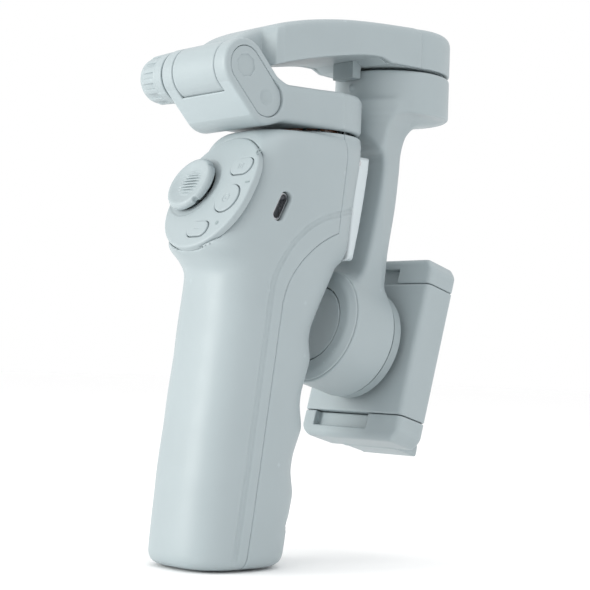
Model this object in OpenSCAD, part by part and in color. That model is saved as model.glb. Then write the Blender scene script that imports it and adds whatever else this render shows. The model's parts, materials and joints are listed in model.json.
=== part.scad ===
// Folding three-axis phone gimbal: hand grip, pan arm with a lockable fold hinge,
// upper arm, leaning roll arm and a self-centring phone clamp, drawn folded.
// Origin: mouth of the tripod thread in the foot. +Z up along the pan axis, -Y is
// the side with the control panel, +X the side with the charging port.

/* [Handle] */
// Height of the pan joint face in the drawing frame
pan_z = 138.4; // [134:0.2:144]
// Setback of the pan axis behind the tripod thread
pan_y = 35; // [32:0.5:38]
// Wall thickness of the plastic shells
wall = 2.2; // [1.6:0.1:3]
// Backward tilt of the control panel
panel_tilt = 28; // [20:1:35]
// Radius of the round ends of the control panel
panel_r = 18; // [15:0.5:18.5]
// Radius of the tripod thread bore
thread_r = 3.175; // [3.175:0.001:4.763]
// Radius of the joystick collar
stick_r = 9.2; // [7:0.1:10]
// Radius of the record button
record_r = 4.8; // [3.5:0.1:5.5]

/* [Fold hinge] */
// Fold axis position front to back
fold_y = -3.7; // [-8:0.1:0]
// Fold axis height
fold_z = 154.6; // [152:0.1:158]
// Radius of the hinge barrel and ears
barrel_r = 8.3; // [7:0.1:9]
// Length of the lock knob
knob_l = 13.2; // [9:0.2:14]
// Number of flutes round the knob
flutes = 14; // [8:1:24]

/* [Motors] */
// Outer radius of the pan motor housing
pan_r = 16.2; // [15.5:0.1:17]
// Outer radius of the tilt and roll motor housings
motor_r = 19.2; // [18:0.1:21]
// Setback of the tilt axis
tilt_y = 72; // [70:0.5:76]
// Height of the tilt joint gap
tilt_z = 163.6; // [162:0.2:166]
// Depth of the tilt motor cup
cup_h = 14.4; // [13.8:0.2:17]
// Front to back position of the roll motor face
roll_y = 40.2; // [39:0.1:43]
// Height of the roll motor face
roll_z = 78.5; // [74:0.1:82]
// Lean of the roll axis below level
roll_lean = 15; // [10:1:18]
// Depth of the roll motor ring
ring_h = 17.3; // [16.6:0.1:20]

/* [Phone clamp] */
// Width of the clamp
clamp_w = 45; // [36:0.2:50]
// Depth of the clamp body
clamp_t = 12.6; // [12:0.2:16]
// Half height of the middle body
body_v = 22; // [20:0.5:26]
// Half height over both closed jaws
jaw_v = 31; // [30:0.5:38]
// Reach of the jaw lips behind the back pad
lip_reach = 9.5; // [7:0.5:12]

/* [Hidden] */
$fn = 64;
shell_c = [0.74, 0.78, 0.77];
dark_c = [0.35, 0.38, 0.38];
steel_c = [0.72, 0.73, 0.75];
black_c = [0.10, 0.10, 0.11];
brass_c = [0.80, 0.66, 0.35];
copper_c = [0.72, 0.40, 0.22];
board_c = [0.12, 0.32, 0.20];
rubber_c = [0.30, 0.33, 0.33];
white_c = [0.88, 0.90, 0.90];
// height of the foot in the drawing frame, taken off every piece by down()
foot_z = 4.4;
grip_n = 2.7;
ring_n = 48;
// handle stations: height, front, back, half width
front_t = [[0, -17.6], [11, -17.3], [29, -15.7], [47, -13.4], [68, -10.5], [88, -8.2],
    [93, -7.9], [97, -11.2], [100, -16.4], [110, -12.6], [120, -7.3], [130, -1.9],
    [134, 0.6], [136.4, 3.6], [137.4, 7]];
back_t = [[0, 20.2], [6, 20.8], [11, 21.6], [18, 22.6], [26, 24.4], [33, 22.9], [38, 23.7],
    [46, 27.2], [53, 25.8], [57, 26.2], [67, 29.8], [73, 28.6], [77, 29.2], [85, 33.4],
    [90, 36.2], [97.4, 40.2], [98.2, 43.4], [101, 44.8], [120, 47], [134, 49.2],
    [137.4, 50.4]];
half_t = [[0, 17.6], [20, 18], [90, 18], [98, 18.6], [104, 19.4], [130, 19.4], [134, 18.6],
    [136.4, 17.2], [137.4, 15.6]];
rows = [4.9, 5.8, 7.4, 9.6, 12.4, 18, 22, 26, 30, 34, 38, 42, 46, 50, 54, 58, 62.5, 67, 71.5,
    76, 80.5, 85, 90, 94, 97.4, 98.4, 100.5, 105, 112, 120, 128, 133, 135.6, 137.4];
panel_y = -3.8;
panel_z = 119;
stick_at = [-8.6, -0.5];
record_at = [9.6, -5.6];
mode_at = [9.6, 5.9];
power_at = [2.4, -16.2];
port_at = [7.2, 112.8];
boss_x = 12.6;
boss_z = 17;
trig_y = 43.4;
trig_r = 1;
trig_z = 130.4;
cheek_d = 8.6;
ear_x = -13.4;
ear_w = 5.5;
cheek_x = 7;
cheek_w = 5.4;
barrel_gap = 0.3;
pin_r = 2.5;
// motor stack measured from its mounting face
stack_h = 11;
stator_r = 10.4;
air = 0.4;
shaft_r = 1.5;
clamp_z = -24;
pitch_r = 4.8;
teeth = 12;
tooth_p = 2 * PI * pitch_r / teeth;
pinion_z = clamp_z - 6.6;

// ---- helpers ----

module down() { translate([0, 0, -foot_z]) children(); }

function sgn_pow(v, e) = (v < 0 ? -1 : 1) * pow(abs(v), e);
function foot_in(z) = z < foot_z + 3 ? 3 - sqrt(max(0, 9 - pow(foot_z + 3 - z, 2))) : 0;
function ring_pts(z, g, e) = let (
    f = lookup(z, front_t) + g + foot_in(z), b = lookup(z, back_t) - g - foot_in(z),
    a = lookup(z, half_t) - g - foot_in(z), c = (f + b) / 2, h = (b - f) / 2)
    [for (i = [0 : ring_n - 1]) let (t = 360 * i / ring_n)
        [a * sgn_pow(cos(t), 2 / e), c + h * sgn_pow(sin(t), 2 / e), z]];

// closed skin through the handle stations, pulled in by g
module grip_loft(g, lo, hi) {
    zs = concat([lo], [for (z = rows) if (z > lo + 0.2 && z < hi - 0.2) z], [hi]);
    n = len(zs);
    pts = [for (z = zs) each ring_pts(z, g, grip_n)];
    polyhedron(points = pts, faces = concat(
        [[for (i = [0 : ring_n - 1]) i]],
        [[for (i = [ring_n - 1 : -1 : 0]) (n - 1) * ring_n + i]],
        [for (j = [0 : n - 2], i = [0 : ring_n - 1]) let (k = (i + 1) % ring_n)
            [j * ring_n + i, (j + 1) * ring_n + k, j * ring_n + k]],
        [for (j = [0 : n - 2], i = [0 : ring_n - 1]) let (k = (i + 1) % ring_n)
            [j * ring_n + i, (j + 1) * ring_n + i, (j + 1) * ring_n + k]]));
}

// a side profile in y and z, drawn out along x
module side(x0, x1, pts) {
    translate([x0, 0, 0]) rotate([90, 0, 90]) linear_extrude(x1 - x0) polygon(pts);
}

module rod_x(r, x0, x1) {
    translate([x0, 0, 0]) rotate([0, 90, 0]) cylinder(r = r, h = x1 - x0);
}

module tube(ro, ri, z0, z1) {
    translate([0, 0, z0]) difference() {
        cylinder(r = ro, h = z1 - z0);
        translate([0, 0, -1]) cylinder(r = ri, h = z1 - z0 + 2);
    }
}

module slot2d(w, h) {
    square([w - h, h], center = true);
    for (s = [-1, 1]) translate([s * (w - h) / 2, 0]) circle(h / 2);
}

module panel_frame() {
    translate([0, panel_y, panel_z]) rotate([90 - panel_tilt, 0, 0]) children();
}

module pan_frame() { translate([0, pan_y, pan_z]) children(); }
module fold_frame() { translate([0, fold_y, fold_z]) children(); }
module tilt_frame() {
    translate([0, tilt_y, tilt_z + 0.4]) rotate([180, 0, 0]) children();
}
module roll_frame() {
    translate([0, roll_y, roll_z]) rotate([90 - roll_lean, 0, 0]) children();
}
module roll_motor() { roll_frame() translate([0, 0, -5]) rotate([180, 0, 0]) children(); }

// everything behind the joint line of the two handle shells
module behind_line() {
    side(-40, 40, [[-1.8, -5], [-1.8, 0], [9.6, 84], [11.4, 89.4], [14.2, 94.2],
        [17.8, 98.3], [22.4, 102.2], [27, 104.8], [32, 106.8], [34.8, 139], [34.8, 142],
        [90, 142], [90, -5]]);
}

module panel_outline(g) {
    translate([0, -0.5]) circle(panel_r + g);
    translate([0, -4.6]) circle(panel_r + g);
    translate([0, -2.55]) square([2 * (panel_r + g), 4.1], center = true);
}

module motor_post() {
    difference() {
        union() {
            cylinder(r = 8.6, h = 1.4);
            cylinder(r = 4.4, h = 8.8);
        }
        translate([0, 0, -1]) cylinder(r = 3, h = 12);
    }
}

module motor_bearings() {
    for (z = [0.3, 6.1]) tube(3, shaft_r + 0.05, z, z + 2.5);
}

module motor_stator() {
    translate([0, 0, 2.4]) linear_extrude(5) {
        difference() {
            circle(6.2);
            circle(4.4);
        }
        for (i = [0 : 8]) rotate(i * 40) polygon([[5.6, -0.9], [8.9, -0.9], [9.2, -2.9],
            [9.9, -2.8], [10.2, 0], [9.9, 2.8], [9.2, 2.9], [8.9, 0.9], [5.6, 0.9]]);
    }
}

module motor_coils() {
    for (i = [0 : 8]) rotate([0, 0, i * 40]) difference() {
        translate([6.4, -1.75, 1.7]) cube([2.4, 3.5, 6.4]);
        translate([6, -0.9, 2.4]) cube([4, 1.8, 5]);
    }
}

module motor_bell() {
    difference() {
        union() {
            tube(stator_r + air + 2.6, stator_r + air + 1.4, 1.8, 9.7);
            translate([0, 0, 9.6]) cylinder(r = stator_r + air + 2.6, h = 1.4);
        }
        translate([0, 0, 9]) cylinder(r = shaft_r, h = 3);
    }
}

module motor_magnets() {
    for (i = [0 : 11]) rotate([0, 0, i * 30]) intersection() {
        tube(stator_r + air + 1.4, stator_r + air, 2.2, 8.2);
        translate([6, -2.6, 0]) cube([12, 5.2, 10]);
    }
}

module motor_shaft() { translate([0, 0, -0.4]) cylinder(r = shaft_r, h = stack_h + 0.4); }

// ---- handle ----

module grip_skin() {
    difference() {
        union() {
            difference() {
                grip_loft(0, foot_z, 137.4);
                panel_frame() translate([-40, -60, 0]) cube([80, 120, 60]);
            }
            pan_frame() translate([0, 0, -3]) cylinder(r = pan_r, h = 3);
        }
        difference() {
            grip_loft(wall, foot_z + 3.2, 133.4);
            panel_frame() translate([-40, -60, -5.2]) cube([80, 120, 60]);
            for (s = [-1, 1]) translate([s * boss_x, -30, boss_z]) rotate([-90, 0, 0])
                cylinder(r = 2.4, h = 60);
        }
        pan_frame() translate([0, 0, -8.4]) cylinder(r = 3.4, h = 12);
        pan_frame() translate([0, 0, -1.4]) cylinder(r = 8.6, h = 3);
        translate([0, 0, foot_z - 1]) cylinder(r = 5.4, h = 9);
        for (s = [-1, 1]) translate([s * boss_x, -12, boss_z]) rotate([-90, 0, 0])
            cylinder(r = 1.15, h = 50);
    }
}

module front_shell() {
    color(shell_c) difference() {
        grip_skin();
        behind_line();
        panel_frame() translate([0, 0, -1.6]) linear_extrude(4) panel_outline(0.1);
        panel_frame() translate([stick_at[0], stick_at[1], -7]) cylinder(r = 8.2, h = 8);
        panel_frame() translate([record_at[0], record_at[1], -7]) cylinder(r = 3.4, h = 8);
        panel_frame() translate([mode_at[0], mode_at[1], -7]) linear_extrude(8) slot2d(7.4, 4);
        panel_frame() translate([power_at[0], power_at[1], -7]) linear_extrude(8)
            slot2d(7.4, 3.4);
        translate([14, port_at[0], port_at[1]]) rotate([0, 90, 0]) rotate([0, 0, -panel_tilt])
            linear_extrude(8) slot2d(9.8, 3.8);
    }
}

module rear_shell() {
    color(shell_c) intersection() {
        difference() {
            grip_skin();
            side(-13.5, 13.5, [[33, 98.8], [38, 98.8], [60, 98.8], [62, 134.6], [41.6, 134.6]]);
            translate([0, trig_y, trig_z]) rod_x(trig_r, -14.3, 14.3);
            for (s = [-1, 1]) translate([s * boss_x, 12.4, boss_z]) rotate([-90, 0, 0])
                cylinder(r = 2.1, h = 20);
        }
        behind_line();
    }
}

module tripod_nut() {
    color(brass_c) translate([0, 0, foot_z]) difference() {
        union() {
            cylinder(r = 5.4, h = 8);
            translate([0, 0, 8]) cylinder(r = 6.6, h = 1);
        }
        translate([0, 0, -1]) cylinder(r = thread_r, h = 8.4);
    }
}

module shell_screws() {
    color(steel_c) for (s = [-1, 1]) translate([s * boss_x, -12, boss_z])
        rotate([-90, 0, 0]) {
            cylinder(r = 1.15, h = 24.5);
            translate([0, 0, 24.4]) cylinder(r = 2.1, h = 1.5);
        }
}

module control_panel() {
    color(shell_c) panel_frame() difference() {
        translate([0, 0, -1.6]) linear_extrude(2.2) panel_outline(0);
        translate([stick_at[0], stick_at[1], -3]) cylinder(r = stick_r - 1.4, h = 6);
        translate([record_at[0], record_at[1], -3]) cylinder(r = record_r + 0.25, h = 6);
        translate([mode_at[0], mode_at[1], -3]) linear_extrude(6) slot2d(9.7, 6.3);
        translate([power_at[0], power_at[1], -3]) linear_extrude(6) slot2d(9.5, 5.7);
    }
}

// plain ring, bar and dot marks beside the buttons
module panel_marks() {
    color(dark_c) panel_frame() {
        translate([14.4, 10.8, 0]) tube(1.1, 0.8, 0.6, 0.75);
        translate([15.6, -0.2, 0.6]) linear_extrude(0.15) slot2d(2, 0.5);
        translate([10.2, -14.4, 0.6]) cylinder(r = 0.6, h = 0.15);
    }
}

module joystick_module() {
    color(black_c) panel_frame() translate([stick_at[0], stick_at[1], 0]) difference() {
        translate([0, 0, -10.8]) cylinder(r = 6.3, h = 3.8);
        translate([0, 0, -10.3]) cylinder(r = 5.6, h = 7);
        translate([0, 0, -8.6]) rod_x(0.75, -6.4, 6.4);
    }
}

module button_switches() {
    color(black_c) panel_frame() for (p = [record_at, mode_at, power_at])
        translate([p[0] - 2, p[1] - 1.6, -10.8]) cube([4, 3.2, 5.2]);
}

module panel_board() {
    color(board_c) panel_frame() translate([-14.5, -15.5, -12]) cube([24.1, 27, 1.2]);
}

module main_board() {
    color(board_c) side(-13, 13, [[24.6, 90], [26, 90], [31.2, 126], [29.8, 126]]);
}

module cell_frame() { translate([0, 2.6, 17]) rotate([-8, 0, 0]) children(); }

module battery_cell() { color(copper_c) cell_frame() cylinder(r = 9.2, h = 61); }

module battery_holder() {
    color(black_c) cell_frame() {
        for (z = [10, 48]) difference() {
            tube(10.6, 9.2, z, z + 6);
            translate([-12, -14, z - 1]) cube([24, 9, 8]);
        }
        translate([-2, 9.4, -2]) cube([4, 1.4, 65]);
        translate([-4, -4, -2]) cube([8, 13.6, 2]);
        translate([-4, -4, 61]) cube([8, 13.6, 2]);
    }
}

module usb_port() {
    color(steel_c) translate([10, port_at[0], port_at[1]]) rotate([0, 90, 0])
        rotate([0, 0, -panel_tilt]) difference() {
            linear_extrude(7.6) slot2d(9, 3.2);
            translate([0, 0, 1.2]) linear_extrude(8) slot2d(8.3, 2.5);
            translate([0, 0, -1]) linear_extrude(1.8) slot2d(6, 1);
        }
}

module trigger_pin() {
    color(steel_c) translate([0, trig_y, trig_z]) rod_x(trig_r, -14.2, 14.2);
}

module trigger_switch() {
    color(black_c) {
        side(-3, 3, [[28.8, 108], [38, 108], [38, 114], [29.7, 114]]);
        translate([-1, 38, 110]) cube([2, 1, 2]);
    }
}

module pan_post() {
    color(steel_c) pan_frame() translate([0, 0, -1.4]) difference() {
        union() {
            cylinder(r = 8.6, h = 1.4);
            cylinder(r = 4.4, h = 10.2);
        }
        translate([0, 0, -1]) cylinder(r = 3, h = 13);
    }
}

module pan_bearings() { color(steel_c) pan_frame() motor_bearings(); }
module pan_stator() { color(dark_c) pan_frame() motor_stator(); }
module pan_coils() { color(copper_c) pan_frame() motor_coils(); }

// ---- controls ----

module joystick_gimbal() {
    color(dark_c) panel_frame() translate([stick_at[0], stick_at[1], -8.6]) {
        difference() {
            tube(5, 3.9, -1, 1);
            rotate([0, 0, 90]) rod_x(0.75, -5.2, 5.2);
        }
        for (s = [0, 180]) rotate([0, 0, s]) rod_x(0.7, 4.6, 6.1);
    }
}

module joystick_cap() {
    color(shell_c) panel_frame() translate([stick_at[0], stick_at[1], 0]) {
        translate([0, 0, -8.6]) {
            cylinder(r = 1.6, h = 8.4);
            rotate([0, 0, 90]) rod_x(0.7, -4.8, 4.8);
        }
        difference() {
            union() {
                translate([0, 0, 1.7]) cylinder(r = stick_r, h = 1.4);
                translate([0, 0, 3.1]) cylinder(r1 = stick_r, r2 = stick_r - 0.8, h = 1);
                translate([0, 0, -0.4]) cylinder(r = 4.5, h = 2.3);
            }
            translate([0, 0, 23.2]) sphere(r = 20.6);
            for (a = [0 : 90 : 270]) rotate([0, 0, a + 45]) translate([stick_r, 0, 0])
                cylinder(r = 0.8, h = 8);
        }
        for (k = [-5 : 5]) translate([-sqrt(42 - k * k) + 1, k * 1.05 - 0.22, 2.5])
            cube([2 * sqrt(42 - k * k) - 2, 0.44, 0.6]);
    }
}

module button_cap(at, w, h) {
    color(shell_c) panel_frame() translate([at[0], at[1], 0]) {
        translate([0, 0, -0.6]) linear_extrude(1.6) slot2d(w, h);
        translate([0, 0, -4.6]) cylinder(r = 1.3, h = 4.2);
    }
}

module mode_button() { button_cap(mode_at, 9.2, 5.8); }
module power_button() { button_cap(power_at, 9, 5.2); }

module record_button() {
    color(shell_c) panel_frame() translate([record_at[0], record_at[1], 0]) {
        translate([0, 0, -0.6]) cylinder(r = record_r, h = 1.6);
        translate([0, 0, -4.6]) cylinder(r = 1.3, h = 4.2);
    }
}

module trigger() {
    color(white_c) difference() {
        hull() for (s = [-1, 1]) {
            translate([s * 12, 42.6, 132]) sphere(r = 0.9, $fn = 24);
            translate([s * 12, 41.6, 100]) sphere(r = 0.9, $fn = 24);
            translate([s * 8.4, 51.8, 132.4]) sphere(r = 1.5, $fn = 24);
            translate([s * 9.4, 43.9, 100.5]) sphere(r = 1.4, $fn = 24);
        }
        side(-20, 20, [[30, 108], [43.4, 108], [43.8, 112], [44.2, 128], [30, 128]]);
        translate([0, trig_y, trig_z]) rod_x(trig_r + 0.06, -20, 20);
    }
}

// ---- pan arm ----

// long rounded outline of the hinge ears, seen along X
module cheek(x0, x1, r) {
    t = (r - 0.02) / sqrt(2);
    fold_frame() translate([x0, 0, 0]) rotate([90, 0, 90]) linear_extrude(x1 - x0) {
        circle(r);
        translate([cheek_d, -cheek_d]) circle(r);
        polygon([[t, t], [cheek_d + t, t - cheek_d], [cheek_d - t, -cheek_d - t], [-t, -t]]);
    }
}

module pan_arm() {
    color(shell_c) difference() {
        union() {
            cheek(ear_x - ear_w, cheek_x + cheek_w, barrel_r);
            intersection() {
                translate([0, 0, pan_z + 1]) linear_extrude(13) {
                    translate([0, pan_y]) circle(pan_r);
                    polygon([[ear_x - ear_w + 0.9, 3.9], [cheek_x + cheek_w - 0.7, 3.9],
                        [pan_r - 0.1, pan_y - 1.4], [0.1 - pan_r, pan_y - 1.4]]);
                }
                side(-30, 30, [[0, 137.6], [60, 137.6], [60, 147.4], [50, 151.6], [14, 151.3],
                    [10, 151.9], [4.2, 151.9], [0, 146]]);
            }
        }
        // room for the barrel and the arm between the ears
        fold_frame() translate([ear_x, 0, 0]) rotate([90, 0, 90])
            linear_extrude(cheek_x - ear_x) {
                circle(barrel_r + barrel_gap);
                polygon([[-1, -1], [30, -5.3], [30, 14], [-1, 14]]);
            }
        fold_frame() rod_x(pin_r, -40, cheek_x + 3);
        // seat of the hinge cap
        cheek(cheek_x + cheek_w - 1.8, cheek_x + cheek_w + 1, barrel_r - 2.3);
        // motor room
        pan_frame() translate([0, 0, -1]) cylinder(r = 14.2, h = stack_h + 1);
        // wire channel to the hinge
        translate([-4, 0, pan_z + 4]) cube([8, 24, 6]);
    }
}

module pan_bell() { color(dark_c) pan_frame() motor_bell(); }
module pan_magnets() { color(steel_c) pan_frame() motor_magnets(); }
module pan_shaft() { color(steel_c) pan_frame() motor_shaft(); }

module hinge_pin() {
    color(steel_c) fold_frame() {
        rod_x(pin_r, ear_x - ear_w - 9, cheek_x + 3);
    }
}

// cover of the hinge with two plain round dimples
module hinge_cap() {
    color(shell_c) difference() {
        cheek(cheek_x + cheek_w - 1.8, cheek_x + cheek_w - 0.3, barrel_r - 2.45);
        for (k = [0, 1]) fold_frame() translate([0, k * cheek_d, -k * cheek_d])
            rod_x(2.6 - k * 0.6, cheek_x + cheek_w - 0.7, cheek_x + cheek_w);
    }
}

module lock_knob() {
    color(shell_c) fold_frame() rotate([0, -90, 0]) difference() {
        translate([0, 0, -ear_x + ear_w + 0.3]) rotate_extrude() polygon([[0, 0], [7.9, 0],
            [8.1, 0.4], [8.1, 2.4], [7.9, knob_l - 3.4], [7.2, knob_l - 1.4], [6.2, knob_l - 0.4],
            [5, knob_l], [0, knob_l]]);
        translate([0, 0, -ear_x + ear_w - 1]) cylinder(r = pin_r + 0.1, h = 10.6);
        for (i = [0 : flutes - 1]) rotate([0, 0, i * 360 / flutes])
            translate([9.1, 0, -ear_x + ear_w + 3]) cylinder(r = 1.6, h = knob_l);
    }
}

// ---- upper arm ----

module arm_plan(g) {
    translate([0, tilt_y]) circle(motor_r - g);
    polygon([[12.6 - g, 11.2 + g], [motor_r - 0.13 - g, tilt_y - 2.2],
        [g + 0.13 - motor_r, tilt_y - 2.2], [g - 12.6, 11.2 + g], [ear_x + 0.3 + g, 8],
        [ear_x + 0.3 + g, -3.6], [cheek_x - 0.4 - g, -3.6], [cheek_x - 0.4 - g, 7 + g],
        [11.6 - g, 8.9 + g]]);
}

module upper_arm() {
    color(shell_c) difference() {
        union() {
            fold_frame() rod_x(barrel_r, ear_x + 0.3, cheek_x - 0.3);
            intersection() {
                translate([0, 0, 140]) linear_extrude(50) arm_plan(0);
                side(-30, 30, [[-6, 162.6], [0, 165.6], [6, 168.4], [13, 170.7], [22, 173.1],
                    [32, 175], [42, 176.2], [56, 177.1], [72, 177.6], [86, 177.4], [90, 176.6],
                    [94, 175], [94, tilt_z + 0.5], [54, tilt_z + 0.5], [50, 165.4],
                    [43, 165], [33, 163.2], [23, 161], [13, 158.2], [5, 155.4], [-2, 152.6]]);
            }
        }
        intersection() {
            translate([0, 0, 140]) linear_extrude(50) arm_plan(1.8);
            side(-30, 30, [[10, 167], [13, 168.4], [22, 170.9], [32, 172.8], [42, 174.1],
                [56, 175.1], [72, 175.5], [90, 174.6], [93, 173], [93, 160], [53, 163],
                [50, 163], [43, 163], [33, 161], [23, 158], [13, 155], [10, 154]]);
        }
        fold_frame() rod_x(pin_r + 1.3, -30, 30);
    }
}

// plate that closes the arm from below and carries the tilt motor
module upper_arm_cover() {
    color(shell_c) difference() {
        intersection() {
            translate([0, 0, 140]) linear_extrude(50) arm_plan(1.9);
            side(-30, 30, [[10.1, 159.4], [13, 160.4], [23, 163], [33, 165.2], [43, 167],
                [50, 167.4], [93, 167.4], [93, tilt_z + 0.4], [53.4, tilt_z + 0.4],
                [50, 165.5], [43, 165.1], [33, 163.3], [23, 161.1], [13, 158.3], [10.1, 157.3]]);
        }
        tilt_frame() translate([0, 0, -6]) cylinder(r = 3, h = 8);
    }
}

module stop_block() {
    color(dark_c) side(-4.6, 4.6, [[48.6, 160], [52.2, 160], [52.2, 164.5], [50, 165.47],
        [48.6, 165.38]]);
}

module hinge_bushes() {
    color(brass_c) fold_frame() for (x = [ear_x + 0.3, cheek_x - 5.3]) difference() {
        rod_x(pin_r + 1.3, x, x + 5);
        rod_x(pin_r + 0.06, x - 1, x + 6);
    }
}

module tilt_post() { color(steel_c) tilt_frame() motor_post(); }
module tilt_bearings() { color(steel_c) tilt_frame() motor_bearings(); }
module tilt_stator() { color(dark_c) tilt_frame() motor_stator(); }
module tilt_coils() { color(copper_c) tilt_frame() motor_coils(); }

// ---- roll arm ----

module roll_arm() {
    cup_lo = tilt_z - cup_h;
    color(shell_c) difference() {
        union() {
            translate([0, tilt_y, cup_lo]) cylinder(r = motor_r, h = cup_h - 0.4);
            intersection() {
                side(-11.8, 11.8, [[52.6, 152], [53, 141], [59.6, 132], [51, 98.6], [44, 90],
                    [56.9, 74], [61.4, 92], [63, 103], [67, 118], [69, 130], [69.6, 137],
                    [71, 143], [75, 147.4], [82, cup_lo], [82, 152]]);
                translate([0, 0, 60]) linear_extrude(100) polygon([[11.8, 40], [11.8, 58],
                    [7.4, 72], [7.4, 90], [-7.4, 90], [-7.4, 72], [-11.8, 58], [-11.8, 40]]);
                union() {
                    translate([0, tilt_y, 137]) cylinder(r = motor_r, h = 20);
                    side(-20, 20, [[30, 60], [30, 137.2], [100, 137.2], [100, 60]]);
                }
            }
            roll_frame() translate([0, 0, -ring_h]) cylinder(r = motor_r - 0.2, h = ring_h);
            // travel lug below the stop block
            translate([0, tilt_y - motor_r + 0.2, 157.4]) sphere(r = 1.3);
        }
        // tilt motor room
        translate([0, tilt_y, tilt_z + 0.4 - stack_h]) cylinder(r = 14.2, h = stack_h + 1);
        translate([0, tilt_y, cup_lo - 1]) cylinder(r = 0.6, h = 3);
        // roll motor room and the pocket behind the cover
        roll_frame() {
            translate([0, 0, -ring_h - 1]) cylinder(r = 16.6, h = ring_h - 4);
            translate([0, 0, -2.9]) cylinder(r = 16.6, h = 5);
            translate([0, 0, -8]) cylinder(r = 3.1, h = 8);
        }
        // wire channel
        side(-4, 4, [[56, 104], [60, 104], [67, 132], [67.4, 146], [64, 146], [64, 134]]);
    }
}

// round cover over the front of the roll motor
module arm_cover() {
    color(shell_c) roll_frame() difference() {
        union() {
            translate([0, 0, -1.5]) cylinder(r = 16.6, h = 1.6);
            translate([0, 0, 0.1]) cylinder(r1 = motor_r - 0.3, r2 = motor_r - 3, h = 2);
        }
        translate([0, 0, 61.4]) sphere(r = 61, $fn = 128);
    }
}

module tilt_bell() { color(dark_c) tilt_frame() motor_bell(); }
module tilt_magnets() { color(steel_c) tilt_frame() motor_magnets(); }
module tilt_shaft() { color(steel_c) tilt_frame() motor_shaft(); }
module roll_post() { color(steel_c) roll_motor() motor_post(); }
module roll_bearings() { color(steel_c) roll_motor() motor_bearings(); }
module roll_stator() { color(dark_c) roll_motor() motor_stator(); }
module roll_coils() { color(copper_c) roll_motor() motor_coils(); }

// ---- phone clamp ----

module roll_hub() {
    color(dark_c) roll_frame() {
        translate([0, 0, -ring_h - 3.4]) cylinder(r = motor_r - 0.8, h = 3);
        translate([0, 0, -18]) cylinder(r = 9, h = 2);
        translate([0, 0, clamp_z]) cylinder(r = 13, h = 3.4);
    }
}

module roll_bell() { color(dark_c) roll_motor() motor_bell(); }
module roll_magnets() { color(steel_c) roll_motor() motor_magnets(); }
module roll_shaft() { color(steel_c) roll_motor() motor_shaft(); }

module block(x0, x1, v0, v1, z0, z1) {
    translate([x0, v0, z0]) cube([x1 - x0, v1 - v0, z1 - z0]);
}

module clamp_body() {
    w = clamp_w / 2;
    zb = clamp_z - clamp_t;
    color(shell_c) roll_frame() difference() {
        block(-w, w, -body_v, body_v, zb, clamp_z);
        block(-16.4, 16.4, -body_v - 1, body_v + 1, clamp_z - 9.6, clamp_z - 3);
        block(-w + 2, w - 2, -body_v + 2, body_v - 2, zb - 1, clamp_z - 9);
        translate([0, 0, clamp_z - 9.5]) cylinder(r = 1.5, h = 9);
    }
}

module clamp_back() {
    w = clamp_w / 2;
    zb = clamp_z - clamp_t;
    color(rubber_c) roll_frame() difference() {
        union() {
            block(2.1 - w, w - 2.1, 2.1 - body_v, body_v - 2.1, zb, clamp_z - 9.8);
        }
        for (v = [-12 : 6 : 12]) block(3 - w, w - 3, v - 0.5, v + 0.5, zb - 1, zb + 0.6);
    }
}

// one jaw, drawn at the top: end wall, lip, tongue and rack; x0 and x1 end its front slot
module jaw(x0, x1) {
    w = clamp_w / 2;
    zb = clamp_z - clamp_t;
    difference() {
        union() {
            difference() {
                block(-w, w, body_v + 0.3, jaw_v, zb, clamp_z);
                // chamfered outer corners
                for (s = [-1, 1]) translate([s * w, jaw_v, 0]) rotate([0, 0, 45])
                    cube([5, 5, 90], center = true);
            }
            block(-12, 12, jaw_v - 2.8, jaw_v, zb - lip_reach, zb + 1);
            block(-12, 12, jaw_v - 3.9, jaw_v, zb - lip_reach, zb - lip_reach + 1.4);
            // tongue with the rack
            block(-15.6, -6.4, -17.6, body_v + 1, clamp_z - 9.2, clamp_z - 3.4);
            for (k = [-7 : 4]) translate([-6.5, (k + 0.5) * tooth_p, clamp_z - 9.2])
                linear_extrude(5.8) polygon([[0, -1.05], [2.3, -0.32], [2.3, 0.32], [0, 1.05]]);
        }
        // slot in the front face beside the seam
        block(x0, x1, body_v - 1, body_v + 5.2, clamp_z - 2.6, clamp_z + 1);
    }
}

module upper_jaw() { color(shell_c) roll_frame() jaw(-16.5, 8); }

module lower_jaw() { color(shell_c) roll_frame() rotate([0, 0, 180]) jaw(-8, 16.5); }

module jaw_pad() {
    zb = clamp_z - clamp_t;
    block(-11, 11, jaw_v - 3.6, jaw_v - 2.8, zb - lip_reach + 1.4, zb);
}

module jaw_pads_upper() { color(rubber_c) roll_frame() jaw_pad(); }
module jaw_pads_lower() { color(rubber_c) roll_frame() rotate([0, 0, 180]) jaw_pad(); }

module clamp_pinion() {
    color(white_c) roll_frame() translate([0, 0, clamp_z - 9.2]) {
        linear_extrude(5.8) {
            circle(3.7);
            for (i = [0 : teeth - 1]) rotate(i * 360 / teeth)
                polygon([[3.2, -0.85], [5.5, -0.26], [5.5, 0.26], [3.2, 0.85]]);
        }
        cylinder(r = 1.42, h = 8);
    }
}

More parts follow.
